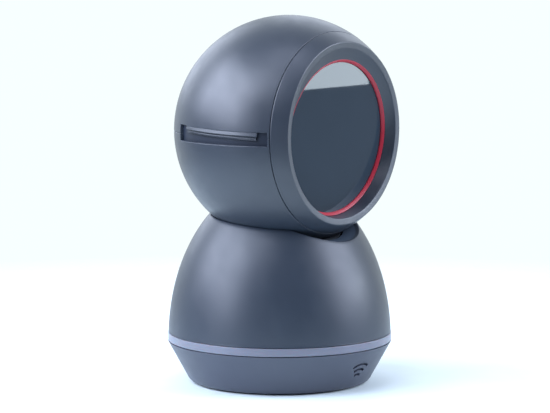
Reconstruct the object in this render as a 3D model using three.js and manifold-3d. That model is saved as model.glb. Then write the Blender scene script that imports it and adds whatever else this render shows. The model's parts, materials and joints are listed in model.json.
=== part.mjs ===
// Hands-free desktop barcode scanner: a ball head that tilts on a domed base.
// Millimetres, +Z up, the scan window faces -Y, the underside of the foot is z = 0.
import * as THREE from 'three';
import Module from 'manifold-3d';
import { mergeVertices } from 'three/addons/utils/BufferGeometryUtils.js';

// ---- driving dimensions ----
const GAP = 0.3;                // air between parts that touch
const WALL = 2.3;               // moulded wall

const BALL_R = 45.7;            // head
const BALL_Y = -4.7;
const BALL_Z = 101.3;
const SEAM_Y = -22.5;           // bezel joint, measured from the ball centre
const FACE_Y = -28.3;           // lip plane
const LIP_OUT = 35.9;
const LIP_IN = 33.4;
const SPIGOT_R = 36.7;          // part of the bezel that enters the ball

const WINDOW_LEAN = 3.7;        // degrees, the window looks slightly down
const WINDOW_Y = -24.6;         // centre of the leaning bore, from the ball centre
const WINDOW_Z = -1.9;
const BORE_R = 30.9;
const RED_IN = 29.9;

const SIDE_SLOT_LOW = -2.8;     // side recesses on the ball's equator
const SIDE_SLOT_TOP = 3.0;      // at their two ends
const SIDE_SLOT_MID = 1.5;      // between the ends
const SIDE_SLOT_FROM = 61.5;    // degrees from the front
const SIDE_SLOT_TO = 119.5;
const SIDE_SLOT_END = 6;
const SIDE_SLOT_DEPTH = 1.4;

const DOME_R = 44.8;            // base
const DOME_H = 64.7;
const DOME_Z = 17.1;
const DOME_FOOT_Z = 20.3;
const NOTCH_R = 42.4;           // round clearance in front of the window
const CLEARANCE = 0.3;          // ball to dome
const RING_R = 44.9;
const RING_Z0 = 16.9;
const RING_Z1 = 20.0;
const HOUSING_TOP_R = 45.0;
const HOUSING_TOP_Z = 16.6;
const HOUSING_FOOT_R = 36.5;
const FOOT_Z = 0.6;

const TILT_DOWN = 12;           // degrees of travel each way
const TILT_UP = 18;
const POST_W = 9;
const POST_D = 6;
const BARREL_R = 5.5;
const AXLE_R = 2.2;

const SOUND_ARCS = [7.1, 5.2, 3.1];   // radii of the sound slots
const SOUND_Z = 3.8;
const SOUND_HALF_ANGLE = 41;
const SOUND_SLOT = 1.0;

const FINE = 48;                // segments: visible turned shapes, inner ones, small ones
const MID = 20;
const SMALL = 8;

const rad = THREE.MathUtils.degToRad;
const wasm = await Module();
wasm.setup();

// ---- materials ----
const finish = (color, roughness, metalness = 0) =>
  new THREE.MeshStandardMaterial({ color, roughness, metalness });
const M = {
  body: finish(0x4b5667, 0.5),
  ring: finish(0x8d95ae, 0.35),
  red: finish(0xb32634, 0.4),
  glass: finish(0x1b222b, 0.08),
  dark: finish(0x20252d, 0.6),
  rubber: finish(0x1a1c20, 0.9),
  steel: finish(0x9aa0a6, 0.35, 0.9),
  zinc: finish(0x7d8289, 0.45, 0.8),
  board: finish(0x1f5a3a, 0.55),
  led: finish(0xe8e4d4, 0.4),
  chip: finish(0x22262b, 0.5),
};

// ---- geometry helpers ----
function solid(geometry) {
  const bare = geometry.clone();
  bare.deleteAttribute('normal');
  bare.deleteAttribute('uv');
  const welded = mergeVertices(bare, 1e-4);
  const p = welded.getAttribute('position').array;
  const index = welded.index.array;
  const tris = [];
  let volume = 0;
  const a = new THREE.Vector3();
  const b = new THREE.Vector3();
  const c = new THREE.Vector3();
  for (let i = 0; i < index.length; i += 3) {
    const [u, v, w] = [index[i], index[i + 1], index[i + 2]];
    if (u === v || v === w || w === u) continue;
    a.fromArray(p, u * 3);
    b.fromArray(p, v * 3);
    c.fromArray(p, w * 3);
    volume += a.dot(b.cross(c));
    tris.push(u, v, w);
  }
  if (volume < 0) tris.reverse();
  return new wasm.Manifold(new wasm.Mesh({
    numProp: 3, vertProperties: new Float32Array(p), triVerts: new Uint32Array(tris),
  }));
}

const profile = pairs => pairs.map(([r, h]) => new THREE.Vector2(r, h));
const closed = pairs => profile([...pairs, pairs[0]]);
// turned about the Y axis (head parts); ring() closes its profile on itself
const turnY = (pairs, seg = FINE) => solid(new THREE.LatheGeometry(profile(pairs), seg));
const ringY = (pairs, seg = FINE) => solid(new THREE.LatheGeometry(closed(pairs), seg));
// turned about the Z axis (base parts and screws)
const upright = geometry => geometry.rotateX(Math.PI / 2);
const turnZ = (pairs, seg = FINE) =>
  solid(upright(new THREE.LatheGeometry(profile(pairs), seg)));
const ringZ = (pairs, seg = FINE) =>
  solid(upright(new THREE.LatheGeometry(closed(pairs), seg)));
const heights = (z0, z1, n) => Array.from({ length: n + 1 }, (_, i) => z0 + (z1 - z0) * i / n);
const tube = (rOut, rIn, h0, h1) => [[rIn, h0], [rOut, h0], [rOut, h1], [rIn, h1]];
const disc = (r, h0, h1) => [[0, h0], [r, h0], [r, h1], [0, h1]];
const block = (x0, x1, y0, y1, z0, z1) => solid(
  new THREE.BoxGeometry(x1 - x0, y1 - y0, z1 - z0)
    .translate((x0 + x1) / 2, (y0 + y1) / 2, (z0 + z1) / 2));
const rodX = (r, x0, x1, seg = MID) => solid(
  new THREE.CylinderGeometry(r, r, x1 - x0, seg).rotateZ(Math.PI / 2)
    .translate((x0 + x1) / 2, 0, 0));
const union = parts => parts.reduce((sum, part) => sum.add(part));
const cut = (part, cutters) => cutters.reduce((rest, cutter) => rest.subtract(cutter), part);

function arc(radius, from, to, steps) {
  return Array.from({ length: steps + 1 }, (_, i) => {
    const t = from + (to - from) * i / steps;
    return [radius * Math.cos(t), radius * Math.sin(t)];
  });
}

// places a shape drawn in the leaning frame of the window bore
const lean = part => part.rotate([WINDOW_LEAN, 0, 0]).translate([0, WINDOW_Y, WINDOW_Z]);

function screw(headR, headH, shankR, length) {
  return turnZ([[0, -length], [shankR, -length + 0.8], [shankR, 0], [headR, 0],
    [headR * 0.85, headH], [headR * 0.45, headH], [0, headH * 0.35]], SMALL);
}

// ---- assembly ----
const scanner = new THREE.Group();
scanner.name = 'hands_free_barcode_scanner';

function add(name, part, material) {
  const mesh = part.getMesh();
  const geometry = new THREE.BufferGeometry();
  geometry.setAttribute('position', new THREE.BufferAttribute(
    new Float32Array(mesh.vertProperties), 3));
  geometry.setIndex(new THREE.BufferAttribute(new Uint32Array(mesh.triVerts), 1));
  const node = new THREE.Mesh(geometry.toNonIndexed(), material);
  node.geometry.computeVertexNormals();
  node.name = name;
  scanner.add(node);
}
// head parts are drawn about the ball centre
const addHead = (name, part, material) =>
  add(name, part.translate([0, BALL_Y, BALL_Z]), material);
const addBase = (name, part, material) => add(name, part, material);

// ---- head: ball ----
const seamAngle = Math.asin((SEAM_Y + GAP / 2) / BALL_R);
const innerR = BALL_R - WALL;
const innerSeam = Math.asin((SEAM_Y + GAP / 2) / innerR);
const ball = ringY([
  ...arc(BALL_R, seamAngle, Math.PI / 2, 13),
  ...arc(innerR, Math.PI / 2, innerSeam, 9),
]);

function sector(side, depth, fromDeg, toDeg, z0, z1) {
  const shape = new THREE.Shape();
  const rim = heights(rad(fromDeg), rad(toDeg), 8);
  const at = (r, t) => [side * r * Math.sin(t), -r * Math.cos(t)];
  shape.moveTo(...at(BALL_R + 2, rim[0]));
  rim.slice(1).forEach(t => shape.lineTo(...at(BALL_R + 2, t)));
  [...rim].reverse().forEach(t => shape.lineTo(...at(BALL_R - depth, t)));
  shape.closePath();
  return solid(new THREE.ExtrudeGeometry(shape, { depth: z1 - z0, bevelEnabled: false })
    .translate(0, 0, z0));
}

// a long recess that is taller at both ends; `inset` shrinks it all round
function sideRecess(side, depth, inset = 0) {
  const turn = inset / BALL_R * 180 / Math.PI;
  const [from, to] = [SIDE_SLOT_FROM + turn, SIDE_SLOT_TO - turn];
  const [low, mid, top] = [SIDE_SLOT_LOW + inset, SIDE_SLOT_MID - inset, SIDE_SLOT_TOP - inset];
  const end = SIDE_SLOT_END - 2 * turn;
  return union([
    sector(side, depth, from, to, low, mid),
    sector(side, depth, from, from + end, low, top),
    sector(side, depth, to - end, to, low, top),
  ]);
}

const sides = [['left', -1], ['right', 1]];
const recesses = sides.map(([, side]) => sideRecess(side, SIDE_SLOT_DEPTH));
const half = BALL_R + 5;
const above = block(-half, half, -half, half, GAP / 2, half);
const below = block(-half, half, -half, half, -half, -GAP / 2);

const yokeBoss = sides.map(([, side]) =>
  turnZ(disc(3.2, 10.3, 41.6), SMALL).translate([side * 14, 5, 0]));
const yokeBossHole = sides.map(([, side]) =>
  turnZ(disc(1.5, 9, 18), SMALL).translate([side * 14, 5, 0]));
const joinBoss = sides.map(([, side]) =>
  turnZ(disc(3.4, -29.5, 29.5), SMALL).translate([side * 17, 26, 0]));
const joinHole = sides.map(([, side]) =>
  turnZ(disc(1.5, -12, 12), SMALL).translate([side * 17, 26, 0]));
const joinAccess = sides.map(([, side]) =>
  turnZ(disc(2.8, -40, -8), SMALL).translate([side * 17, 26, 0]));
const postSlot = block(-POST_W / 2 - 0.9, POST_W / 2 + 0.9,
  -innerR * Math.sin(rad(TILT_DOWN)) - POST_D / 2 - 1.2,
  innerR * Math.sin(rad(TILT_UP)) + POST_D / 2 + 1.2, -half, -30);

addHead('head_shell_upper',
  cut(union([ball.intersect(above), ...yokeBoss, ...joinBoss.map(b => b.intersect(above))]),
    [...recesses, ...yokeBossHole, ...joinHole]), M.body);
addHead('head_shell_lower',
  cut(union([ball.intersect(below), ...joinBoss.map(b => b.intersect(below))]),
    [...recesses, ...joinHole, ...joinAccess, postSlot]), M.body);

// dark strips on the floors of the side recesses
for (const [label, side] of sides) {
  const strip = sideRecess(side, SIDE_SLOT_DEPTH - GAP, GAP)
    .intersect(solid(new THREE.SphereGeometry(BALL_R - 0.7, FINE, FINE / 2)));
  addHead(`side_insert_${label}`, strip, M.dark);
}
joinBoss.forEach((_, i) => addHead(`shell_screw_${sides[i][0]}`,
  screw(2.4, 1.8, 1.2, 16).rotate([180, 0, 0]).translate([sides[i][1] * 17, 26, -8.3]),
  M.steel));

// ---- head: bezel, red trim and window ----
const funnel = new THREE.CylinderGeometry(LIP_IN, BORE_R, 1, FINE, 1);
const ringPoints = funnel.getAttribute('position');
for (let i = 0; i < ringPoints.count; i += 1) {
  const [x, y, z] = [ringPoints.getX(i), ringPoints.getY(i), ringPoints.getZ(i)];
  const lip = y > 0;
  const inset = WINDOW_Y - z * Math.sin(rad(WINDOW_LEAN));
  ringPoints.setXYZ(i, x, lip ? FACE_Y : inset, lip ? z : z + WINDOW_Z);
}
const mouth = union([solid(funnel),
  turnY(disc(LIP_IN, FACE_Y - 3, FACE_Y + 0.001))]);
const bezelBlank = turnY([[0, FACE_Y], [LIP_OUT - 0.35, FACE_Y],
  ...arc(BALL_R, Math.asin((FACE_Y + 0.25) / BALL_R),
    Math.asin((SEAM_Y - GAP / 2) / BALL_R), 4),
  [SPIGOT_R, SEAM_Y - GAP / 2], [SPIGOT_R, -12], [0, -12]]);
const retainerAngles = [45, 135, 225, 315].map(rad);
const onCircle = (r, t) => [r * Math.cos(t), r * Math.sin(t)];
const alongY = part => part.rotate([90, 0, 0]);
const retainerHoles = retainerAngles.map(t => {
  const [x, z] = onCircle(33.6, t);
  return alongY(turnZ(disc(1.1, -9, -3), SMALL)).translate([x, 0, z]);
});
addHead('front_bezel', cut(bezelBlank, [
  mouth,
  lean(turnY(disc(BORE_R, -0.05, 20))),
  lean(block(-half, half, 7.9, 40, -half, half)),
  ...retainerHoles.map(lean),
]), M.body);
addHead('red_trim_ring', lean(ringY([[BORE_R - GAP, 0.1], [BORE_R - GAP, 1.1],
  [RED_IN, 1.1], [RED_IN, 0.8]])), M.red);
addHead('scan_window', lean(turnY([[0, 1.4], [BORE_R - 0.6, 1.4], [BORE_R - GAP, 1.7],
  [BORE_R - GAP, 3.7], [0, 3.7]])), M.glass);
addHead('window_gasket', lean(ringY(tube(BORE_R - GAP, 27.6, 4.0, 4.8), MID)), M.rubber);
addHead('window_retainer', cut(
  lean(ringY([[27.4, 5.1], [BORE_R - GAP, 5.1], [BORE_R - GAP, 8.2], [35.2, 8.2],
    [35.2, 10.0], [27.4, 10.0]], MID)),
  retainerAngles.map(t => {
    const [x, z] = onCircle(33.6, t);
    return lean(alongY(turnZ(disc(1.1, -12, -7), SMALL)).translate([x, 0, z]));
  })), M.dark);
retainerAngles.forEach((t, i) => {
  const [x, z] = onCircle(33.6, t);
  addHead(`retainer_screw_${i + 1}`, lean(screw(1.5, 1.2, 0.8, 6).rotate([-90, 0, 0])
    .translate([x, 10.3, z])), M.steel);
});

// ---- head: electronics, stacked behind the window ----
addHead('illumination_board', lean(ringY(tube(31.4, 11.5, 10.3, 11.9), MID)), M.board);
[45, 135, 225, 315].forEach((angle, i) => {
  const [x, z] = onCircle(19, rad(angle));
  addHead(`illumination_led_${i + 1}`,
    lean(block(x - 2, x + 2, 8.2, 10.0, z - 2, z + 2)), M.led);
});
addHead('decoder_board', lean(block(-22, 22, 14.5, 16.1, -11.5, 20)), M.board);
addHead('imager_block', lean(block(-8, 8, 7.6, 14.2, -7, 7)), M.chip);
addHead('lens_barrel', lean(ringY([[3.0, 4.6], [5.2, 4.6], [5.2, 7.3], [2.6, 7.3],
  [2.6, 5.8], [3.0, 5.8]], MID)), M.dark);
addHead('lens', lean(turnY([[0, 4.9], [1.6, 5.05], [2.3, 5.4], [2.3, 7.1], [0, 7.1]],
  SMALL)), M.glass);
sides.forEach(([label, side]) => addHead(`board_standoff_${label}`,
  lean(alongY(turnZ(disc(1.8, -14.2, -12.2), SMALL)).translate([side * 17, 0, 9])),
  M.zinc));
addHead('shield_can', lean(block(-11, 11, 16.4, 17.6, 5, 18)), M.steel);

// ---- head: tilt yoke and its axle ----
const yokeCheeks = sides.map(([, side]) => {
  const [x0, x1] = side < 0 ? [-9.1, -6.1] : [6.1, 9.1];
  return rodX(5.8, x0, x1).add(block(x0, x1, -5.8, 5.8, 0, 9));
});
const yokeEars = block(-18, 18, 1.2, 8.8, 7, 10);
const yokeHoles = sides.map(([, side]) =>
  turnZ(disc(1.5, 6, 11), SMALL).translate([side * 14, 5, 0]));
addHead('tilt_yoke', cut(
  union([...yokeCheeks, block(-9.1, 9.1, -5.8, 5.8, 7, 10), yokeEars]),
  [rodX(AXLE_R + GAP, -12, 12), ...yokeHoles]), M.zinc);
sides.forEach(([label, side]) => addHead(`yoke_screw_${label}`,
  screw(2.6, 1.8, 1.2, 9.5).rotate([180, 0, 0]).translate([side * 14, 5, 6.7]), M.steel));
addHead('hinge_axle', union([rodX(AXLE_R, -11, 12.6), rodX(4, -11.2, -9.4)]), M.steel);
addHead('axle_nut', cut(rodX(4.2, 9.4, 12, 6), [rodX(AXLE_R + 0.2, 9, 13)]), M.steel);
sides.forEach(([label, side]) => {
  const [x0, x1] = side < 0 ? [-5.8, -4.8] : [4.8, 5.8];
  addHead(`friction_washer_${label}`,
    cut(rodX(5.2, x0, x1), [rodX(AXLE_R + GAP, x0 - 1, x1 + 1)]), M.rubber);
});

// ---- base: dome ----
const domeAt = (z, inset = 0) =>
  (DOME_R - inset) * Math.sqrt(1 - ((z - DOME_Z) / (DOME_H - inset)) ** 2);
const clearanceAt = grow => {
  const [r, front] = [BALL_R + CLEARANCE + grow, NOTCH_R + grow];
  return turnY([[0, -60], [front, -60], ...arc(r, -Math.acos(front / r), Math.PI / 2, 12)], FINE)
    .translate([0, BALL_Y, BALL_Z]);
};
const ballClearance = clearanceAt(0);
const baseScrews = [50, 130, 230, 310].map(rad).map(t => onCircle(31.8, t));
const domeBody = union([
  ringZ([[RING_R - 0.1, DOME_FOOT_Z],
    ...heights(DOME_FOOT_Z + 0.4, 72, 9).map(z => [domeAt(z), z]),
    ...heights(72, 22.5, 7).map(z => [domeAt(z, WALL), z]),
    [34.5, 22.5], [34.5, 14.5], [37.6, 14.5], [37.6, DOME_FOOT_Z]]),
  cut(turnZ(disc(36.6, 52, 54), MID),
    [turnZ(disc(17.8, 50, 56), MID).translate([0, BALL_Y, 0])]),
  ...baseScrews.map(([x, y]) => turnZ(disc(3.2, 14.5, 25), SMALL).translate([x, y, 0])),
]);
addBase('dome_shell', cut(domeBody, [ballClearance,
  ...baseScrews.map(([x, y]) => turnZ(disc(1.5, 13, 22), SMALL).translate([x, y, 0]))]),
M.body);
// cup between the dome and the ball, standing on the shelf
addBase('cup_liner', cut(union([
  cut(clearanceAt(1.6), [block(-half, half, -half, half, -10, 54.3)]).intersect(turnZ([[0, 54.3],
    ...heights(54.3, 78, 8).map(z => [domeAt(z, WALL + GAP), z]), [0, 78]], FINE)),
  ringZ(tube(23.6, 21.6, 54.3, 60), MID).translate([0, BALL_Y, 0]),
]), [ballClearance, turnZ(disc(21.6, 50, 70), MID).translate([0, BALL_Y, 0])]), M.body);
addBase('friction_seat', ringZ([[18.2, 54.3], [21, 54.3], [21, 61], [18.2, 60]], MID)
  .translate([0, BALL_Y, 0]).subtract(ballClearance), M.rubber);
addBase('light_ring', ringZ(tube(RING_R, 38, RING_Z0, RING_Z1)), M.ring);

// ---- base: lower housing with the sound slots and the cable opening ----
const slope = (HOUSING_TOP_R - HOUSING_FOOT_R) / (HOUSING_TOP_Z - 1.2);
const housingIn = z => HOUSING_FOOT_R + (z - 1.2) * slope - WALL * 1.12;
const housing = union([
  turnZ([[0, FOOT_Z], [HOUSING_FOOT_R - 0.8, FOOT_Z], [HOUSING_FOOT_R, 1.2],
    [HOUSING_TOP_R, HOUSING_TOP_Z - 0.2], [HOUSING_TOP_R - 0.2, HOUSING_TOP_Z],
    [housingIn(HOUSING_TOP_Z), HOUSING_TOP_Z], [housingIn(3.4), 3.4], [0, 3.4]]),
  ...baseScrews.map(([x, y]) => turnZ(disc(3, 2, 14.2), SMALL).translate([x, y, 0])),
]);
function soundSlot(r) {
  const shape = new THREE.Shape();
  const from = rad(90 + SOUND_HALF_ANGLE);
  const to = rad(90 - SOUND_HALF_ANGLE);
  shape.absarc(0, 0, r + SOUND_SLOT / 2, from, to, true);
  shape.absarc(0, 0, r - SOUND_SLOT / 2, to, from, false);
  return solid(new THREE.ExtrudeGeometry(shape,
    { depth: 12, bevelEnabled: false, curveSegments: 6 })
    .rotateX(Math.PI / 2).translate(0, -35, SOUND_Z));
}
addBase('lower_housing', cut(housing, [
  ...SOUND_ARCS.map(soundSlot),
  ringZ(tube(34.2, 23.8, -1, 1.5)),
  block(-6.9, 6.9, 34, 50, 4.1, 14.4),
  ...baseScrews.flatMap(([x, y]) => [
    turnZ(disc(1.5, 0, 20), SMALL).translate([x, y, 0]),
    turnZ(disc(2.6, -1, 5.4), SMALL).translate([x, y, 0])]),
]), M.body);
baseScrews.forEach(([x, y], i) => addBase(`base_screw_${i + 1}`,
  screw(2.2, 1.6, 1.2, 15).rotate([180, 0, 0]).translate([x, y, 5.1]), M.steel));
addBase('foot_ring', ringZ(tube(33.9, 24.1, 0, 1.2)), M.rubber);

// ---- base: ballast, post and electronics ----
const postScrewX = [-12.5, 12.5];
addBase('ballast_weight', cut(ringZ(tube(25, 4, 3.7, 10.7), MID),
  postScrewX.map(x => turnZ(disc(1.6, 2, 12), SMALL).translate([x, 0, 0]))), M.steel);
const post = union([
  rodX(BARREL_R, -POST_W / 2, POST_W / 2).translate([0, BALL_Y, BALL_Z]),
  block(-POST_W / 2, POST_W / 2, BALL_Y - POST_D / 2, BALL_Y + POST_D / 2, 13, BALL_Z),
  block(-17, 17, -10, 10, 11, 14),
]);
addBase('tilt_post', cut(post, [
  rodX(AXLE_R + GAP, -12, 12).translate([0, BALL_Y, BALL_Z]),
  ...postScrewX.map(x => turnZ(disc(1.6, 9, 15), SMALL).translate([x, 0, 0]))]), M.zinc);
postScrewX.forEach((x, i) => addBase(`post_screw_${i + 1}`,
  screw(2.8, 2, 1.3, 8.5).translate([x, 0, 14.3]), M.steel));
addBase('interface_board', cut(turnZ(disc(27, 20, 21.6), MID),
  [block(-7, 7, -11, 4, 19, 23)]), M.board);
[[-16.5, 16.5], [16.5, 16.5], [0, -22.5]].forEach(([x, y], i) =>
  addBase(`board_spacer_${i + 1}`, turnZ(disc(2, 11, 19.7), SMALL).translate([x, y, 0]),
    M.zinc));
addBase('interface_chip', block(9, 17, -14, -6, 21.9, 23.1), M.chip);
addBase('cable_socket', cut(block(-6.5, 6.5, 26.2, 37.2, 4.4, 14.1),
  [block(-5, 5, 29, 40, 5.8, 11.9), block(-2, 2, 31, 40, 11, 13)]), M.dark);
addBase('buzzer', turnZ([[0, -1.7], [5, -1.7], [5, 1.3], [4.2, 1.7], [0, 1.7]], MID)
  .rotate([90 + 27, 0, 0]).translate([0, -34.2, 8.9]), M.chip);
addBase('light_board', ringZ(tube(40.4, 37.9, 13.1, 14.1)), M.board);
[0, 90, 180, 270].forEach((angle, i) => {
  const [x, y] = onCircle(39.2, rad(angle + 20));
  addBase(`ring_led_${i + 1}`, block(-1.1, 1.1, -1.1, 1.1, 14.4, 15.8)
    .rotate([0, 0, angle + 20]).translate([x, y, 0]), M.led);
});

export default scanner;
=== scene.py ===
import json
import math

import bmesh
import bpy
import numpy as np
from mathutils import Euler, Matrix, Vector


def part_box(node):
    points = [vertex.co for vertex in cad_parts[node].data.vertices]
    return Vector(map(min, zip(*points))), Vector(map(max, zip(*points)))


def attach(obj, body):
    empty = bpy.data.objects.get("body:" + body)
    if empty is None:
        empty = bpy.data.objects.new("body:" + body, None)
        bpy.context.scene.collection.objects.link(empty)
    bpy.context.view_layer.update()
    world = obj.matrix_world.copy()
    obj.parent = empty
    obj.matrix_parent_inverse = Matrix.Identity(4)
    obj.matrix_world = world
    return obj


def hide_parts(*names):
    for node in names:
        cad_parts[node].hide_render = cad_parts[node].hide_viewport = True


# Looks of the hands-free scanner. The frame is in metres; shapes are drawn in millimetres.
MM = 0.001
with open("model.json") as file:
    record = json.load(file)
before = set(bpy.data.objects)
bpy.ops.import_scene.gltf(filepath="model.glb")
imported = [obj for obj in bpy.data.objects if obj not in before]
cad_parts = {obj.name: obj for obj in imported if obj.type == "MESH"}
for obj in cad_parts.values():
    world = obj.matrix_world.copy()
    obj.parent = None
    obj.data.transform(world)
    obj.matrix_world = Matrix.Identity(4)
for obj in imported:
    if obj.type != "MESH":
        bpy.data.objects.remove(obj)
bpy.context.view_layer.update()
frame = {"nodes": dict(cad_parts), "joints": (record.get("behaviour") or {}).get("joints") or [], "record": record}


def cad_mm(node):
    """Low and high corners of a CAD node, in millimetres."""
    low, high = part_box(node)
    return np.array(low) / MM, np.array(high) / MM


# ---------------------------------------------------------------- places from the frame
BALL = np.array(frame["joints"][0]["pos_m"]) / MM          # centre of the ball, on the hinge
BALL_R = cad_mm("head_shell_upper")[1][2] - BALL[2]
SEAM = cad_mm("head_shell_upper")[0][1] - BALL[1] - 0.15   # bezel joint, from the centre
FACE = cad_mm("front_bezel")[0][1] - BALL[1]               # lip plane, from the centre
RING_LOW, RING_HIGH = cad_mm("light_ring")[0][2], cad_mm("light_ring")[1][2]
RING_R = cad_mm("light_ring")[1][0]
HOUSING_R = cad_mm("lower_housing")[1][0]
HOUSING_LOW, HOUSING_HIGH = cad_mm("lower_housing")[0][2], cad_mm("lower_housing")[1][2]
FOOT_R = HOUSING_R - 8.5
CONE_LOW = HOUSING_LOW + 0.6                     # where the tub's cone would reach FOOT_R
DOME_FOOT = RING_HIGH + 0.15
DOME_R = RING_R - 0.1
DOME_CENTRE_Z, DOME_H = 17.1, 64.7               # widest height and upper half axis of the dome

# ---------------------------------------------------------------- sizes in millimetres
WALL = 2.0                                       # thickness of the shells
JOINT = 0.045                                    # half of the gap in the ball's joints
RIM_GAP = 0.22                                   # between the ball and the dome's mouth
NOTCH_R = 42.4                                   # clearance in front of the window

LIP_OUT, LIP_IN = 35.9, 33.4
LIP_SLOPE = math.tan(math.radians(7))            # the lip falls slightly inwards
WINDOW_LEAN = math.radians(3.7)
WINDOW = np.array([0.0, FACE + 3.7, -1.9])       # centre of the leaning bore, from BALL
BORE_R, RED_IN = 30.9, 29.7
GLASS, GLASS_BACK = 1.4, 3.7                     # front and back of the glass in the bore
SPIGOT_IN, SPIGOT_OUT, SPIGOT_END = 34.6, 36.5, -17.2

SLOT_FROM, SLOT_TO = 61.6, 119.6                 # side recess, degrees from the front
MID_FROM, MID_TO = 66.8, 112.6                   # its lower middle stretch
SLOT_LOW = -2.75                                 # lower edge, from the equator
SLOT_MID_LINE, SLOT_TOP_LINE = 1.5, 3.0          # nominal upper edges, straightened
# height of each sloping edge at its front end, and its rise towards the back
SLOT_TOP, SLOT_MID, SLOT_LIP = (2.5, 1.15), (0.85, 1.3), (-0.7, 1.5)
SLOT_DEPTH, FACET_DEPTH = 1.35, 0.3
SLOT_ZONE = 6.2                                  # height of the finely meshed band
STRIP_DEPTH, STRIP_BACK = 1.25, 1.34             # dark strip, below the ball's skin
BAR_ENDS, BAR_BACK = 1.2, 1.3                    # bar on the strip, below the ball's skin

CUP_WALL = 1.6
SEAT_CLEAR_R = 21.8                              # keeps the cup clear of the friction seat

SOUND_CENTRE_Z, SOUND_WIDTH = 2.3, 0.85
SOUND_SLOTS = ((8.6, 4.5), (6.4, 3.0), (4.2, 1.8))   # radius and half length of each arc


# ---------------------------------------------------------------- mesh code
def piece(name, points, faces, material, body, slot, nodes=(), angle=34):
    """A closed mesh piece from millimetre points, cleaned, smoothed and tied to its body."""
    mesh = bpy.data.meshes.new(name)
    mesh.from_pydata((np.asarray(points, float) * MM).tolist(), [], faces)
    bm = bmesh.new()
    bm.from_mesh(mesh)
    bmesh.ops.remove_doubles(bm, verts=bm.verts, dist=2e-6)
    bmesh.ops.dissolve_degenerate(bm, edges=bm.edges, dist=1e-7)
    bmesh.ops.recalc_face_normals(bm, faces=bm.faces)
    for face in bm.faces:
        face.smooth = True
    bm.to_mesh(mesh)
    bm.free()
    mesh.set_sharp_from_angle(angle=math.radians(angle))
    obj = bpy.data.objects.new(name, mesh)
    bpy.context.scene.collection.objects.link(obj)
    obj.data.materials.append(material)
    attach(obj, body)
    if nodes:
        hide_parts(*nodes)
    return obj


def grid_faces(rows, cols, wrap_rows=False, wrap_cols=False, start=0):
    """Quads of a grid whose points are numbered row by row from start."""
    faces = []
    for i in range(rows if wrap_rows else rows - 1):
        for j in range(cols if wrap_cols else cols - 1):
            below, above = i * cols, ((i + 1) % rows) * cols
            right = (j + 1) % cols
            faces.append((start + below + j, start + above + j,
                          start + above + right, start + below + right))
    return faces


def shell(outer, inner):
    """Points and faces of a closed wall between two matching grids."""
    rows, cols = outer.shape[:2]
    count = rows * cols
    faces = grid_faces(rows, cols)
    faces += [tuple(reversed(face)) for face in grid_faces(rows, cols, start=count)]
    edges = [(i * cols + j, (i + 1) * cols + j) for i in range(rows - 1) for j in (0, cols - 1)]
    edges += [(i * cols + j, i * cols + j + 1) for i in (0, rows - 1) for j in range(cols - 1)]
    faces += [(a, b, b + count, a + count) for a, b in edges]
    return np.concatenate([outer.reshape(-1, 3), inner.reshape(-1, 3)]), faces


def ring_of(profiles):
    """Points and faces of a solid whose closed profile goes all the way round."""
    rows, cols = profiles.shape[:2]
    return profiles.reshape(-1, 3), grid_faces(rows, cols, True, True)


def bend(start, corner, end, shares):
    """Points along the quadratic arc that rounds a corner."""
    return [(1 - t) ** 2 * start + 2 * t * (1 - t) * corner + t ** 2 * end for t in shares]


def rounded(corners, radii, steps=5):
    """A closed 2D outline whose corners are rounded off."""
    corners = [np.array(corner, float) for corner in corners]
    outline = []
    for k, (corner, radius) in enumerate(zip(corners, radii)):
        if radius == 0:
            outline.append(corner)
            continue
        tangents = []
        for other in (corners[k - 1], corners[(k + 1) % len(corners)]):
            length = np.linalg.norm(other - corner)
            tangents.append(corner + (other - corner) / length * min(radius, 0.45 * length))
        outline += bend(tangents[0], corner, tangents[1], np.linspace(0, 1, steps))
    return np.array(outline)


def turned(outline, count, axis="z"):
    """A ring of outlines (radius, height) turned about Z, or about Y for the head."""
    angles = np.arange(count) * 2 * math.pi / count
    cos, sin = np.cos(angles)[:, None], np.sin(angles)[:, None]
    radius, height = outline[:, 0][None, :], outline[:, 1][None, :]
    if axis == "z":
        return np.stack([radius * cos, radius * sin, height + 0 * cos], axis=2)
    return np.stack([radius * cos, height + 0 * cos, radius * sin], axis=2)


def leaning(points):
    """From the leaning frame of the window bore to the ball's centre."""
    cos, sin = math.cos(WINDOW_LEAN), math.sin(WINDOW_LEAN)
    turn = np.array([[1, 0, 0], [0, cos, -sin], [0, sin, cos]])
    return points @ turn.T + WINDOW


def block(low, high, bevel):
    """Points and faces of a block with rounded edges."""
    bm = bmesh.new()
    bmesh.ops.create_cube(bm, size=1.0)
    low, high = np.array(low, float), np.array(high, float)
    for vertex in bm.verts:
        vertex.co = Vector((low + high) / 2 + np.array(vertex.co) * (high - low))
    bmesh.ops.bevel(bm, geom=bm.edges, offset=bevel, segments=2, affect="EDGES", profile=0.6)
    bm.verts.index_update()
    points = np.array([vertex.co[:] for vertex in bm.verts])
    faces = [tuple(vertex.index for vertex in face.verts) for face in bm.faces]
    bm.free()
    return points, faces


def carve(obj, points, faces):
    """Takes a closed cutter out of a piece."""
    mesh = bpy.data.meshes.new("cutter")
    mesh.from_pydata((np.asarray(points) * MM).tolist(), [], faces)
    bm = bmesh.new()
    bm.from_mesh(mesh)
    bmesh.ops.recalc_face_normals(bm, faces=bm.faces)
    bm.to_mesh(mesh)
    bm.free()
    cutter = bpy.data.objects.new("cutter", mesh)
    bpy.context.scene.collection.objects.link(cutter)
    modifier = obj.modifiers.new("carve", "BOOLEAN")
    modifier.operation, modifier.object, modifier.solver = "DIFFERENCE", cutter, "MANIFOLD"
    graph = bpy.context.evaluated_depsgraph_get()
    result = bpy.data.meshes.new_from_object(obj.evaluated_get(graph))
    obj.modifiers.clear()
    obj.data = result
    obj.data.set_sharp_from_angle(angle=math.radians(34))
    bpy.data.objects.remove(cutter)


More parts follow.
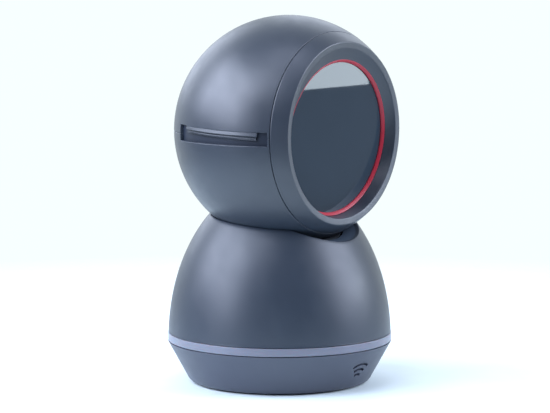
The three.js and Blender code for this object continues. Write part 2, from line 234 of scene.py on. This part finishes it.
# ---------------------------------------------------------------- materials
def material(name):
    mat = bpy.data.materials.new(name)
    mat.use_nodes = True
    return mat, mat.node_tree, mat.node_tree.nodes["Principled BSDF"]


def noise(tree, scale, detail=3.0, rough=0.5):
    """Noise fixed to the piece; the scale is in waves per metre."""
    coords = tree.nodes.new("ShaderNodeTexCoord")
    node = tree.nodes.new("ShaderNodeTexNoise")
    node.inputs["Scale"].default_value = scale
    node.inputs["Detail"].default_value = detail
    node.inputs["Roughness"].default_value = rough
    tree.links.new(coords.outputs["Object"], node.inputs["Vector"])
    return node.outputs["Fac"]


def spread(tree, value, low, high, position=(0.3, 0.7)):
    """The value's stretch between two positions, carried over to low and high."""
    node = tree.nodes.new("ShaderNodeMapRange")
    node.inputs["From Min"].default_value, node.inputs["From Max"].default_value = position
    node.inputs["To Min"].default_value, node.inputs["To Max"].default_value = low, high
    tree.links.new(value, node.inputs["Value"])
    return node.outputs["Result"]


def tint(tree, value, dark, light):
    """Slight colour variation between two shades."""
    ramp = tree.nodes.new("ShaderNodeValToRGB")
    ramp.color_ramp.elements[0].position, ramp.color_ramp.elements[1].position = 0.3, 0.7
    ramp.color_ramp.elements[0].color = (*dark, 1)
    ramp.color_ramp.elements[1].color = (*light, 1)
    tree.links.new(value, ramp.inputs["Fac"])
    return ramp.outputs["Color"]


def grain(tree, shader, scale, height):
    """Moulded or cast surface texture."""
    bump = tree.nodes.new("ShaderNodeBump")
    bump.inputs["Strength"].default_value = 0.25
    bump.inputs["Distance"].default_value = height
    tree.links.new(noise(tree, scale, 4.0, 0.6), bump.inputs["Height"])
    tree.links.new(bump.outputs["Normal"], shader.inputs["Normal"])


def worn_and_glinting_edges(tree, colour, wear_and_glint):
    """The colour, lightened a little where the surface turns a sharp outer edge: partly edge wear, partly a
    painted highlight.
    """
    sharpness = tree.nodes.new("ShaderNodeNewGeometry").outputs["Pointiness"]
    wear_and_glint_mask, rubbed_and_glinting = tree.nodes.new("ShaderNodeMath"), tree.nodes.new("ShaderNodeMix")
    wear_and_glint_mask.operation, rubbed_and_glinting.data_type = "MULTIPLY", "RGBA"
    tree.links.new(spread(tree, sharpness, 0, wear_and_glint, (0.54, 0.66)), wear_and_glint_mask.inputs[0])
    tree.links.new(spread(tree, noise(tree, 140), 0.8, 1.0), wear_and_glint_mask.inputs[1])
    tree.links.new(wear_and_glint_mask.outputs[0], rubbed_and_glinting.inputs["Factor"])
    tree.links.new(colour, rubbed_and_glinting.inputs["A"])
    # lighter colour of the edges: wear together with a painted highlight
    rubbed_and_glinting.inputs["B"].default_value = (0.16, 0.19, 0.25, 1)
    return rubbed_and_glinting.outputs["Result"]


def plastic(name, dark, light, rough, scale=2600, height=0.00002, gloss=0.5, wear_and_glint=0.0):
    """Moulded plastic: mottled colour, uneven roughness, a fine grain and, where asked, edges lightened as wear
    and painted highlight.
    """
    mat, tree, shader = material(name)
    colour = tint(tree, noise(tree, 60), dark, light)
    # sharp edges lightened in the colour: partly wear, partly a painted highlight
    if wear_and_glint:
        colour = worn_and_glinting_edges(tree, colour, wear_and_glint)
    tree.links.new(colour, shader.inputs["Base Color"])
    tree.links.new(spread(tree, noise(tree, 180), *rough), shader.inputs["Roughness"])
    shader.inputs["Specular IOR Level"].default_value = gloss
    grain(tree, shader, scale, height)
    return mat


def metal(name, dark, light, rough, scale=900):
    """Plated or cast metal."""
    mat, tree, shader = material(name)
    tree.links.new(tint(tree, noise(tree, 300), dark, light), shader.inputs["Base Color"])
    tree.links.new(spread(tree, noise(tree, 500), *rough), shader.inputs["Roughness"])
    shader.inputs["Metallic"].default_value = 1.0
    grain(tree, shader, scale, 0.00003)
    return mat


def glass(name):
    """Dark tinted glass with a polished face."""
    mat, tree, shader = material(name)
    tree.links.new(tint(tree, noise(tree, 25), (0.030, 0.044, 0.061), (0.033, 0.048, 0.066)),
                   shader.inputs["Base Color"])
    tree.links.new(spread(tree, noise(tree, 400), 0.015, 0.03), shader.inputs["Roughness"])
    shader.inputs["IOR"].default_value = 1.5
    return mat


SLATE = (0.022, 0.032, 0.050), (0.025, 0.036, 0.055)
# painted light: the housing's slate is a lighter, bluer copy of the body's, standing in for light bounced up from
# the floor
HOUSING_SLATE_LIT = (0.034, 0.042, 0.070), (0.038, 0.047, 0.077)
# the body, dome and housing plastics get edges lightened partly as wear, partly as a painted highlight
body_mat = plastic("slate_plastic", *SLATE, (0.37, 0.43), gloss=0.85, wear_and_glint=0.35)
bezel_mat = plastic("bezel_plastic", *SLATE, (0.37, 0.43), gloss=0.85)
dome_mat = plastic("dome_plastic", *SLATE, (0.38, 0.44), gloss=0.66, wear_and_glint=0.35)
housing_lit_mat = plastic("housing_plastic_painted_bounce", *HOUSING_SLATE_LIT, (0.37, 0.43), gloss=0.85, wear_and_glint=0.35)
# painted light: the cup is a lighter copy of the slate plastic, so its shaded cavity looks lit
cup_painted_light_mat = plastic("cup_plastic_painted_light", (0.078, 0.108, 0.152), (0.086, 0.118, 0.165), (0.42, 0.5))
dark_mat = plastic("dark_plastic", (0.010, 0.017, 0.034), (0.012, 0.020, 0.039), (0.42, 0.5))
bar_mat = plastic("bar_plastic", (0.020, 0.027, 0.040), (0.024, 0.032, 0.046), (0.3, 0.36))
red_mat = plastic("red_trim", (0.47, 0.018, 0.042), (0.52, 0.022, 0.048), (0.36, 0.42))
ring_mat = plastic("light_guide", (0.175, 0.185, 0.235), (0.19, 0.20, 0.25), (0.3, 0.36))
light_guide = ring_mat.node_tree.nodes["Principled BSDF"]
light_guide.inputs["Subsurface Weight"].default_value = 0.3
light_guide.inputs["Subsurface Scale"].default_value = 0.002
rubber_mat = plastic("rubber", (0.013, 0.018, 0.026), (0.017, 0.023, 0.032), (0.75, 0.85),
                     1800, 0.00004)
board_mat = plastic("solder_mask", (0.008, 0.07, 0.03), (0.012, 0.10, 0.045), (0.25, 0.35),
                    1500, 0.00003)
led_mat = plastic("led_epoxy", (0.62, 0.58, 0.36), (0.72, 0.68, 0.46), (0.12, 0.2))
chip_mat = plastic("mould_compound", (0.010, 0.010, 0.012), (0.016, 0.016, 0.018), (0.5, 0.6))
steel_mat = metal("plated_steel", (0.42, 0.43, 0.45), (0.52, 0.53, 0.55), (0.28, 0.4))
zinc_mat = metal("cast_zinc", (0.26, 0.27, 0.28), (0.34, 0.35, 0.36), (0.45, 0.6), 500)
window_mat, lens_mat = glass("tinted_window"), glass("coated_lens")

CAD_FINISH = {"body": body_mat, "ring": ring_mat, "red": red_mat, "window": window_mat,
              "dark_trim": dark_mat, "rubber": rubber_mat, "steel": steel_mat,
              "zinc": zinc_mat, "board": board_mat, "led": led_mat, "chip": chip_mat,
              "lens_glass": lens_mat}
for part in frame["record"]["subparts"]:
    node = frame["nodes"][part["node"]]
    node.data.materials.clear()
    node.data.materials.append(CAD_FINISH[part["material_slot"]])


# ---------------------------------------------------------------- ball half shells
def ease(distance, depth, soft=0.14):
    """Depth below the skin at a distance outside a recess: a rounded shoulder, then a wall."""
    distances = np.array([-0.02, 0.0, 0.25, 0.6, 1.0]) * soft / 0.6
    depths = [depth, soft * 1.2, soft * 0.42, soft * 0.09, 0.0]
    return np.interp(distance, distances, depths)


def share_of(phi, start, end):
    """How far phi is between two limits in degrees."""
    return (np.degrees(phi) - start) / (end - start)


def slot_top(phi):
    """Upper edge of the recess at its two ends; it rises slightly towards the back."""
    return SLOT_TOP[0] + SLOT_TOP[1] * share_of(phi, SLOT_FROM, SLOT_TO)


def slot_mid(phi):
    """Upper edge of the recess between its ends."""
    return SLOT_MID[0] + SLOT_MID[1] * share_of(phi, MID_FROM, MID_TO)


def slot_lip(phi):
    """Lower edge of the bar inside the recess."""
    return SLOT_LIP[0] + SLOT_LIP[1] * share_of(phi, MID_FROM, MID_TO)


def beyond_slot(phi, height):
    """Distance outside the recess outline, in millimetres; negative inside."""
    along = np.degrees(phi)
    arc = math.radians(BALL_R)                   # millimetres per degree

    def beyond(start, end, top):
        across = np.maximum(SLOT_LOW - height, height - top)
        length = np.maximum(start - along, along - end) * arc
        inside = np.maximum(across, length)
        corner = np.hypot(np.maximum(across, 0), np.maximum(length, 0))
        return np.where(inside < 0, inside, corner)

    return np.minimum.reduce([beyond(SLOT_FROM, SLOT_TO, slot_mid(phi)),
                              beyond(SLOT_FROM, MID_FROM, slot_top(phi)),
                              beyond(MID_TO, SLOT_TO, slot_top(phi))])


def cover_facet(phi, height):
    """Depth of the shallow flat above the recess, tipped slightly upwards."""
    low, top = slot_mid(phi), slot_top(phi)
    share = np.clip((height - low) / (top - low), 0, 1)
    edge = np.clip((top - height) / 0.15, 0, 1)
    between = (np.degrees(phi) > MID_FROM) & (np.degrees(phi) < MID_TO)
    return FACET_DEPTH * share * edge * between


def at_radius(points, radius):
    """The same grid pulled to another radius about the ball's centre."""
    reach = np.linalg.norm(points - BALL, axis=2)
    return BALL + (points - BALL) * (radius / reach)[..., None]


def ball_angles(phi, delta, side, radius):
    """Places on the ball: phi from the front pole, delta above the equator, side -1 or +1."""
    return BALL + radius[..., None] * np.stack(
        [side * np.sin(phi) * np.cos(delta), -np.cos(phi) + 0 * delta,
         np.sin(phi) * np.sin(delta)], axis=-1)


def angle_at(phi, height):
    """Angle above the equator of a height; the floor keeps rows apart near the poles."""
    return np.arcsin(np.clip(height / (BALL_R * np.maximum(np.sin(phi), 0.72)), -1, 1))


def ball_points(phi, height, side, radius):
    return ball_angles(phi, angle_at(phi, height), side, radius)


NEAR = np.array([0, 0.03, 0.08, 0.15, 0.25, 0.4])          # grid lines beside a joint
EDGE = np.array([0.0, 0.03, 0.07, 0.12, 0.2, 0.32, 0.5])   # grid lines beside a recess edge
DEGREES_PER_MM = math.degrees(1 / BALL_R)
SEAM_DEG = math.degrees(math.acos(-SEAM / BALL_R)) + JOINT * DEGREES_PER_MM


def ball_columns():
    """Angles from the front pole, close together at the seam and at the recess ends."""
    ends = np.array([SLOT_FROM, MID_FROM, MID_TO, SLOT_TO])
    hugging = [end + side * EDGE * DEGREES_PER_MM for end in ends for side in (-1, 1)]
    along = np.concatenate([SEAM_DEG + NEAR * DEGREES_PER_MM,
                            [SEAM_DEG + 0.7 * DEGREES_PER_MM], *hugging,
                            np.arange(SEAM_DEG + 1.5, 180, 1.6), [180.0]])
    return np.radians(np.unique(np.round(along[along >= SEAM_DEG - 1e-6], 5)))


def ball_rows(sign, phi):
    """Heights above or below the equator, close together at the recess edges."""
    edges = (SLOT_MID_LINE, SLOT_TOP_LINE) if sign > 0 else (SLOT_LOW,)
    line = [JOINT + NEAR, np.arange(0.7, 6.0, 0.35)]
    line += [abs(edge) + np.concatenate([-EDGE, EDGE])[1:] for edge in edges]
    line = np.unique(np.round(np.concatenate(line), 4))
    line = line[(line >= JOINT) & (line <= SLOT_ZONE)]
    if sign < 0:
        return np.repeat(line[None, :], len(phi), 0)
    # the rows follow the sloping upper edges of the recess
    knots = [JOINT, 0.35, SLOT_MID_LINE, SLOT_TOP_LINE, SLOT_ZONE]
    return np.stack([np.interp(line, knots, [JOINT, 0.35, slot_mid(p), slot_top(p), SLOT_ZONE])
                     for p in np.clip(phi, math.radians(SLOT_FROM), math.radians(SLOT_TO))])


def ball_half(sign):
    """One half shell: the recess and the joints are sunk into a fine grid."""
    phi = ball_columns()
    height = ball_rows(sign, phi)
    pp = np.repeat(phi[:, None], height.shape[1], 1)
    seam_drop = ease((phi - math.radians(SEAM_DEG)) * BALL_R - 0.004, 1.0, 0.16)[:, None]
    drop = np.maximum.reduce([
        ease(beyond_slot(pp, sign * height), SLOT_DEPTH), cover_facet(pp, sign * height),
        ease(height - JOINT - 0.004, 1.0, 0.16), seam_drop + 0 * height])
    edge = angle_at(phi, height[:, -1])[:, None]
    delta = edge + (math.pi / 2 - edge) * np.linspace(0, 1, 26)[None, 1:]
    flat = 0 * delta
    sides = []
    for side in (-1, 1):
        low = ball_points(pp, sign * height, side, BALL_R - drop)
        high = ball_angles(phi[:, None] + flat, sign * delta, side, BALL_R - seam_drop + flat)
        sides.append(np.concatenate([low, high], axis=1))
    outer = np.concatenate([sides[0], sides[1][:, ::-1][:, 1:]], axis=1)
    return shell(outer, at_radius(outer, BALL_R - WALL - 0.1))


piece("ball_upper", *ball_half(1), body_mat, "head", "body", ["head_shell_upper"])
lower = piece("ball_lower", *ball_half(-1), body_mat, "head", "body", ["head_shell_lower"])
POST_OPENING = [-5.4, -14.0, -60], [5.4, 18.4, -25]         # for the post, from the centre
carve(lower, *block(BALL + POST_OPENING[0], BALL + POST_OPENING[1], 0.4))


# ---------------------------------------------------------------- side recess trim
def side_strip(side, label):
    """Dark floor of the recess."""
    start, end = MID_FROM - 0.15, MID_TO + 0.15
    phi = np.radians(np.unique(np.concatenate([
        np.linspace(SLOT_FROM + 0.15, SLOT_TO - 0.15, 80),
        [start - 0.01, start + 0.01, end - 0.01, end + 0.01]])))
    p, share = np.meshgrid(phi, np.linspace(0, 1, 24), indexing="ij")
    middle = (p > math.radians(start)) & (p < math.radians(end))
    low = SLOT_LOW + 0.1
    height = low + (np.where(middle, slot_mid(p), slot_top(p)) - 0.12 - low) * share
    outer = ball_points(p, height, side, BALL_R - STRIP_DEPTH + 0 * height)
    piece(f"side_strip_{label}", *shell(outer, at_radius(outer, BALL_R - STRIP_BACK)),
          dark_mat, "head", "dark_trim", [f"side_insert_{label}"], angle=60)


def side_bar(side, label):
    """Bar along the upper half of the recess, with two fine raised edges."""
    phi = np.radians(np.linspace(MID_FROM + 0.5, MID_TO - 0.5, 90))
    share = np.concatenate([
        [0, 0], [0.02, 0.06, 0.1, 0.16, 0.24, 0.32, 0.4, 0.46, 0.5, 0.54, 0.6],
        np.linspace(0.66, 0.98, 8), [1, 1]])
    drop = np.interp(share, [0, 0.04, 0.1, 0.16, 0.4, 0.46, 0.52, 0.6, 1.0],
                     [0.66, 0.47, 0.44, 0.54, 0.54, 0.46, 0.50, 0.56, 0.56])
    drop[[0, -1]] = BAR_ENDS
    p, share = np.meshgrid(phi, share, indexing="ij")
    low = slot_lip(p)
    height = low + (slot_mid(p) - 0.1 - low) * share
    ends = ease(np.minimum(p - phi[0], phi[-1] - p) * BALL_R, BAR_ENDS, 0.2)
    outer = ball_points(p, height, side, BALL_R - np.maximum(drop[None, :], ends))
    piece(f"side_bar_{label}", *shell(outer, at_radius(outer, BALL_R - BAR_BACK)), bar_mat,
          "head", "dark_trim", angle=50)


for label, side in (("left", -1), ("right", 1)):
    side_strip(side, label)
    side_bar(side, label)


# ---------------------------------------------------------------- bezel, red trim, window
FORWARD = np.array([0, -1, 0])                   # the head looks this way


def bezel_profile(flat):
    """Closed profile in the half plane of the sideways direction flat, from the centre."""
    seam_phi = math.acos(-(SEAM - JOINT) / BALL_R)
    lip_phi = math.asin(LIP_OUT / BALL_R)

    def on_ball(phi, radius=BALL_R):
        return radius * (math.sin(phi) * flat + math.cos(phi) * FORWARD)

    def on_ring(radius, y):
        return radius * flat - y * FORWARD

    def on_lip(radius):
        return on_ring(radius, FACE + (LIP_OUT - radius) * LIP_SLOPE)

    def on_bore(depth):
        return leaning((BORE_R * flat - depth * FORWARD)[None, :])[0]

    # the joint with the half shells, softened at its outer edge
    points = [on_ball(seam_phi - along / BALL_R, BALL_R - drop) for along, drop in
              ((0, 1.2), (0, 0.34), (0.05, 0.2), (0.14, 0.09), (0.27, 0.03), (0.45, 0))]
    points += [on_ball(phi) for phi in np.linspace(seam_phi - 0.012, lip_phi + 0.008, 14)]
    # round the outer edge on to the flat lip
    corner = on_ball(lip_phi)
    corner[1] = FACE
    points += bend(points[-1], corner, on_lip(LIP_OUT - 0.3), np.linspace(0.12, 1, 7))
    points += [on_lip(r) for r in np.linspace(LIP_OUT - 0.45, LIP_IN + 0.35, 5)]
    # round the inner edge and down the sloping wall to the bore
    corner, edge = on_lip(LIP_IN), on_bore(0)
    slope = edge - corner
    finish = corner + slope * min(0.45 / np.linalg.norm(slope), 0.3)
    points += bend(points[-1], corner, finish, np.linspace(0.14, 1, 7))
    points += [finish + (edge - finish) * t for t in np.linspace(0.12, 0.96, 10)]
    points += [on_bore(depth) for depth in (0.04, 0.2, 2.4, 4.0)]
    # the spigot inside the ball
    points += [on_ring(SPIGOT_IN, SPIGOT_END), on_ring(SPIGOT_OUT, SPIGOT_END - 0.2),
               on_ring(SPIGOT_OUT, SEAM - 0.3), on_ball(seam_phi, BALL_R - 1.9)]
    return points


def bezel():
    omega = np.arange(288) * 2 * math.pi / 288
    return ring_of(BALL + np.array([bezel_profile(np.array([math.cos(w), 0, math.sin(w)]))
                                    for w in omega]))


piece("bezel", *bezel(), bezel_mat, "head", "body", ["front_bezel"])

red_outline = rounded([(BORE_R - 0.06, 1.3), (BORE_R - 0.06, 0.06), (BORE_R - 0.3, 0.02),
                       (RED_IN, 0.9), (RED_IN, 1.3)], [0, 0.1, 0.25, 0.25, 0])
piece("red_ring", *ring_of(BALL + leaning(turned(red_outline, 288, "y"))), red_mat, "head",
      "red", ["red_trim_ring"])

GLASS_R = BORE_R - 0.3
glass_outline = np.array([
    (0.0, GLASS), (10, GLASS), (20, GLASS), (28, GLASS), (GLASS_R - 0.25, GLASS),
    (GLASS_R - 0.05, GLASS + 0.15), (GLASS_R, GLASS + 0.4), (GLASS_R, GLASS_BACK - 0.2),
    (GLASS_R - 0.2, GLASS_BACK), (20, GLASS_BACK), (0.0, GLASS_BACK)])
piece("window", *ring_of(BALL + leaning(turned(glass_outline, 240, "y"))), window_mat, "head",
      "window", ["scan_window"])


# ---------------------------------------------------------------- dome
def dome_radius(z, inset=0.0):
    """Radius of the dome's skin, or of the surface a wall's thickness inside it."""
    share = 1 - ((z - DOME_CENTRE_Z) / (DOME_H - inset)) ** 2
    return (DOME_R - inset) * np.sqrt(np.clip(share, 0, 1))


def clearance_height(x, y):
    """Underside of the room left for the ball and for the view in front of the window."""
    clear = BALL_R + RIM_GAP
    ahead = y - BALL[1]
    if ahead < -math.sqrt(clear ** 2 - NOTCH_R ** 2):
        return BALL[2] - math.sqrt(max(NOTCH_R ** 2 - x * x, 0))
    return BALL[2] - math.sqrt(max(clear ** 2 - x * x - ahead * ahead, 0))


def rim_height(cos, sin):
    """Height at which the dome's skin meets the clearance, in one direction."""
    low, high = 45.0, 78.0
    for _ in range(40):
        z = (low + high) / 2
        radius = float(dome_radius(z))
        if z < clearance_height(radius * cos, radius * sin):
            low = z
        else:
            high = z
    return low


def dome_profile(cos, sin):
    """Closed profile (radius, height) of the dome in one direction."""
    rim, foot = rim_height(cos, sin), DOME_FOOT
    edge = float(dome_radius(rim))
    points = [(DOME_R - 1.4, foot), (DOME_R - 0.35, foot), (DOME_R - 0.12, foot + 0.05),
              (DOME_R - 0.02, foot + 0.2)]
    points += [(float(dome_radius(z)), z) for z in
               foot + 0.4 + (rim - 0.45 - foot - 0.4) * np.linspace(0, 1, 60)]
    for inward, under in ((0.03, 0.2), (0.12, 0.07), (0.3, 0.02), (0.8, 0.0), (1.6, 0.0)):
        radius = edge - inward
        points.append((radius, clearance_height(radius * cos, radius * sin) - under))
    inner_rim, inner_top = points[-1][0], points[-1][1] - 1.2
    points += [(min(float(dome_radius(z, WALL)), inner_rim), z) for z in
               np.linspace(inner_top, foot + 3, 16)]
    return points + [(DOME_R - WALL - 1.2, foot + 2)]


def cup_profile(cos, sin):
    """Closed profile of the cup between the dome and the ball, along the clearance."""
    edge = float(dome_radius(rim_height(cos, sin))) - 1.5
    inner = BALL[1] * sin + math.sqrt(SEAT_CLEAR_R ** 2 - (BALL[1] * cos) ** 2)
    top = [(r, clearance_height(r * cos, r * sin) - 0.02) for r in np.linspace(edge, inner, 30)]
    return top + [(r, z - CUP_WALL) for r, z in reversed(top)]


def all_round(profile, count):
    """A solid whose profile is worked out afresh in each direction."""
    profiles = []
    for angle in np.arange(count) * 2 * math.pi / count:
        cos, sin = math.cos(angle), math.sin(angle)
        profiles.append([(r * cos, r * sin, z) for r, z in profile(cos, sin)])
    return ring_of(np.array(profiles))


piece("dome", *all_round(dome_profile, 360), dome_mat, "base", "body", ["dome_shell"])
# the cup takes the lightened plastic, painted light in the shaded cavity
piece("cup", *all_round(cup_profile, 240), cup_painted_light_mat, "base", "body", ["cup_liner"], angle=60)

BAND_IN = 39.0
ring_outline = rounded([(BAND_IN, RING_LOW), (RING_R, RING_LOW), (RING_R, RING_HIGH),
                        (BAND_IN, RING_HIGH)], [0, 0.14, 0.3, 0])
piece("light_band", *ring_of(turned(ring_outline, 300)), ring_mat, "base", "ring",
      ["light_ring"])


# ---------------------------------------------------------------- lower housing
def sound_depth(x, z):
    """Depth of the three curved slots at a place on the front of the housing."""
    reach = np.hypot(x, z - SOUND_CENTRE_Z)
    angle = np.abs(np.arctan2(x, z - SOUND_CENTRE_Z))
    depth = np.zeros_like(x)
    for radius, half in SOUND_SLOTS:
        across = np.abs(reach - radius) - SOUND_WIDTH / 2
        along = (angle - math.asin(half / radius)) * radius
        profile = np.interp(np.maximum(across, along), [-0.12, -0.02, 0.05, 0.14],
                            [1.0, 0.3, 0.06, 0])
        depth = np.maximum(depth, profile)
    return depth


def housing():
    """The conical tub, finely meshed at the front for its slots."""
    fine = np.radians(np.linspace(-9.5, 9.5, 150))
    rest = np.radians(np.linspace(9.5, 350.5, 260))[1:-1]
    azimuth = np.concatenate([fine, rest])
    top, low = HOUSING_HIGH, HOUSING_LOW
    slope = (HOUSING_R - FOOT_R) / (top - CONE_LOW)
    z = np.concatenate([np.linspace(1.9, 4.9, 8), np.linspace(5.0, 12.0, 62),
                        np.linspace(12.4, top - 0.5, 8)])
    wall = np.stack([FOOT_R + (z - CONE_LOW) * slope, z], 1)
    bottom = rounded([(34.2, low + 0.05), (FOOT_R - 0.6, low), (FOOT_R + 0.7 * slope, 1.9)],
                     [0, 1.4, 0], 7)[:-1]
    crown = rounded([wall[-1], (HOUSING_R - 0.02, top), (HOUSING_R - 3, top)],
                    [0, 0.16, 0], 6)[1:]
    inside = [(HOUSING_R - 4.2, top), (FOOT_R - 0.8, 3.4), (33.6, 3.2)]
    outline = np.concatenate([bottom, wall, crown, inside])
    angle, radius = np.meshgrid(azimuth, outline[:, 0], indexing="ij")
    height = np.repeat(outline[:, 1][None, :], len(azimuth), 0)
    skin = np.zeros(len(outline), bool)
    skin[len(bottom):len(bottom) + len(z)] = True
    front = (np.cos(angle) > 0.8) & skin[None, :]
    radius = radius - np.where(front, sound_depth(radius * np.sin(angle), height), 0)
    return ring_of(np.stack([radius * np.sin(angle), -radius * np.cos(angle), height], axis=2))


tub = piece("housing", *housing(), housing_lit_mat, "base", "body", ["lower_housing"])
socket_low, socket_high = cad_mm("cable_socket")
carve(tub, *block([socket_low[0] - 0.3, 33, socket_low[2] - 0.2],
                  [socket_high[0] + 0.3, 60, socket_high[2] + 0.2], 0.6))


# ---------------------------------------------------------------- floor, lights and camera
CAMERA_AZIMUTH, CAMERA_HEIGHT, CAMERA_LENS = -51.03, 0.1855, 164.38
CAMERA_TILT, CAMERA_HEADING = 0.1148, -0.8888    # radians, below level and from the front
LIGHT_DISTANCE, LIGHT_TARGET = 1.5, (0, 0, 0.08)
# name, (azimuth, elevation), (width, height), power
SOFTBOXES = [("key", (-131, 33), (1.6, 1.05), 45),
             ("fill", (34, 27), (1.05, 1.2), 30),
             ("shoulder", (-84, 52), (0.7, 0.6), 5.5),
             ("top", (-51, 80), (0.9, 0.6), 5.5),
             ("left_low", (-110, 9), (0.8, 0.35), 3.6),
             ("front_low", (-60, 0), (0.6, 0.5), 0.5),
             ("rim_left", (160, 22), (0.8, 0.8), 5),
             ("rim_right", (115, 30), (0.8, 0.8), 3)]
CARD_DIRECTION, CARD_DISTANCE, CARD_SIZE = (53.0, -8.2), 0.3, 0.06
CARD_ACROSS, CARD_RISE, CARD_ROLL = -0.0207, 0.0458, math.radians(11.2)


def ray(azimuth, elevation=0.0):
    """Direction from the object; azimuth 0 is in front of the window."""
    a, e = math.radians(azimuth), math.radians(elevation)
    return Vector((math.sin(a) * math.cos(e), -math.cos(a) * math.cos(e), math.sin(e)))


def area_light(name, width, height, power, colour):
    data = bpy.data.lights.new(name, "AREA")
    data.shape, data.size, data.size_y = "RECTANGLE", width, height
    data.energy, data.color = power, colour
    light = bpy.data.objects.new(name, data)
    bpy.context.scene.collection.objects.link(light)
    return light


def softbox(name, direction, size, power):
    light = area_light(name, *size, power, (0.73, 0.805, 1.0))
    light.location = Vector(LIGHT_TARGET) + ray(*direction) * LIGHT_DISTANCE
    towards = Vector(LIGHT_TARGET) - light.location
    light.rotation_euler = towards.to_track_quat("-Z", "Y").to_euler()
    light.visible_camera = False


def reflector():
    """A lit card that shows only in the window; its offsets lie in its own plane."""
    azimuth = math.radians(CARD_DIRECTION[0])
    ahead = ray(*CARD_DIRECTION)
    side = Vector((math.cos(azimuth), math.sin(azimuth), 0))
    up = ahead.cross(side)
    window = Vector(BALL + leaning(np.array([[0, GLASS, 0]]))[0]) * MM
    centre = window + ahead * CARD_DISTANCE + side * CARD_ACROSS + up * CARD_RISE
    light = area_light("card", CARD_SIZE, CARD_SIZE, 0.078, (0.8, 0.92, 1.0))
    facing = Matrix((side, up, ahead)).transposed().to_4x4()
    light.matrix_world = (Matrix.Translation(centre) @ facing
                          @ Matrix.Rotation(CARD_ROLL, 4, "Z"))
    light.visible_diffuse = False


def floor_material():
    """Pale table that fades into the surroundings away from the scanner."""
    mat = plastic("table", (0.77, 0.86, 0.87), (0.79, 0.88, 0.89), (0.7, 0.8), 200, 0.00001)
    tree = mat.node_tree
    coords = tree.nodes.new("ShaderNodeTexCoord")
    length = tree.nodes.new("ShaderNodeVectorMath")
    length.operation = "LENGTH"
    tree.links.new(coords.outputs["Object"], length.inputs[0])
    clear, mix = tree.nodes.new("ShaderNodeBsdfTransparent"), tree.nodes.new("ShaderNodeMixShader")
    tree.links.new(spread(tree, length.outputs["Value"], 0, 1, (0.15, 0.38)), mix.inputs[0])
    tree.links.new(tree.nodes["Principled BSDF"].outputs[0], mix.inputs[1])
    tree.links.new(clear.outputs[0], mix.inputs[2])
    tree.links.new(mix.outputs[0], tree.nodes["Material Output"].inputs["Surface"])
    return mat


def surroundings():
    """Bright behind the scanner, dim on the side it is seen from."""
    world = bpy.data.worlds.new("studio")
    bpy.context.scene.world = world
    world.use_nodes = True
    tree = world.node_tree
    background = tree.nodes["Background"]
    background.inputs["Color"].default_value = (0.915, 1.0, 1.0, 1)
    coords = tree.nodes.new("ShaderNodeTexCoord")
    behind = tree.nodes.new("ShaderNodeVectorMath")
    behind.operation = "DOT_PRODUCT"
    behind.inputs[1].default_value = ray(CAMERA_AZIMUTH + 180)
    tree.links.new(coords.outputs["Generated"], behind.inputs[0])
    strength = spread(tree, behind.outputs["Value"], 0.1, 1.02, (0.1, 0.8))
    tree.links.new(strength, background.inputs["Strength"])


def table():
    bm = bmesh.new()
    bmesh.ops.create_circle(bm, cap_ends=True, segments=96, radius=1.0)
    mesh = bpy.data.meshes.new("floor")
    bm.to_mesh(mesh)
    bm.free()
    floor = bpy.data.objects.new("floor", mesh)
    bpy.context.scene.collection.objects.link(floor)
    floor.data.materials.append(floor_material())


def camera():
    data = bpy.data.cameras.new("camera")
    data.sensor_width = 36.0
    data.lens = CAMERA_LENS
    obj = bpy.data.objects.new("camera", data)
    obj.location = ray(CAMERA_AZIMUTH) + Vector((0, 0, CAMERA_HEIGHT))
    obj.rotation_euler = Euler((math.pi / 2 - CAMERA_TILT, 0, CAMERA_HEADING))
    bpy.context.scene.collection.objects.link(obj)
    bpy.context.scene.camera = obj


camera()
table()
surroundings()
for box in SOFTBOXES:
    softbox(*box)
reflector()
bpy.context.scene.view_settings.view_transform = "Standard"
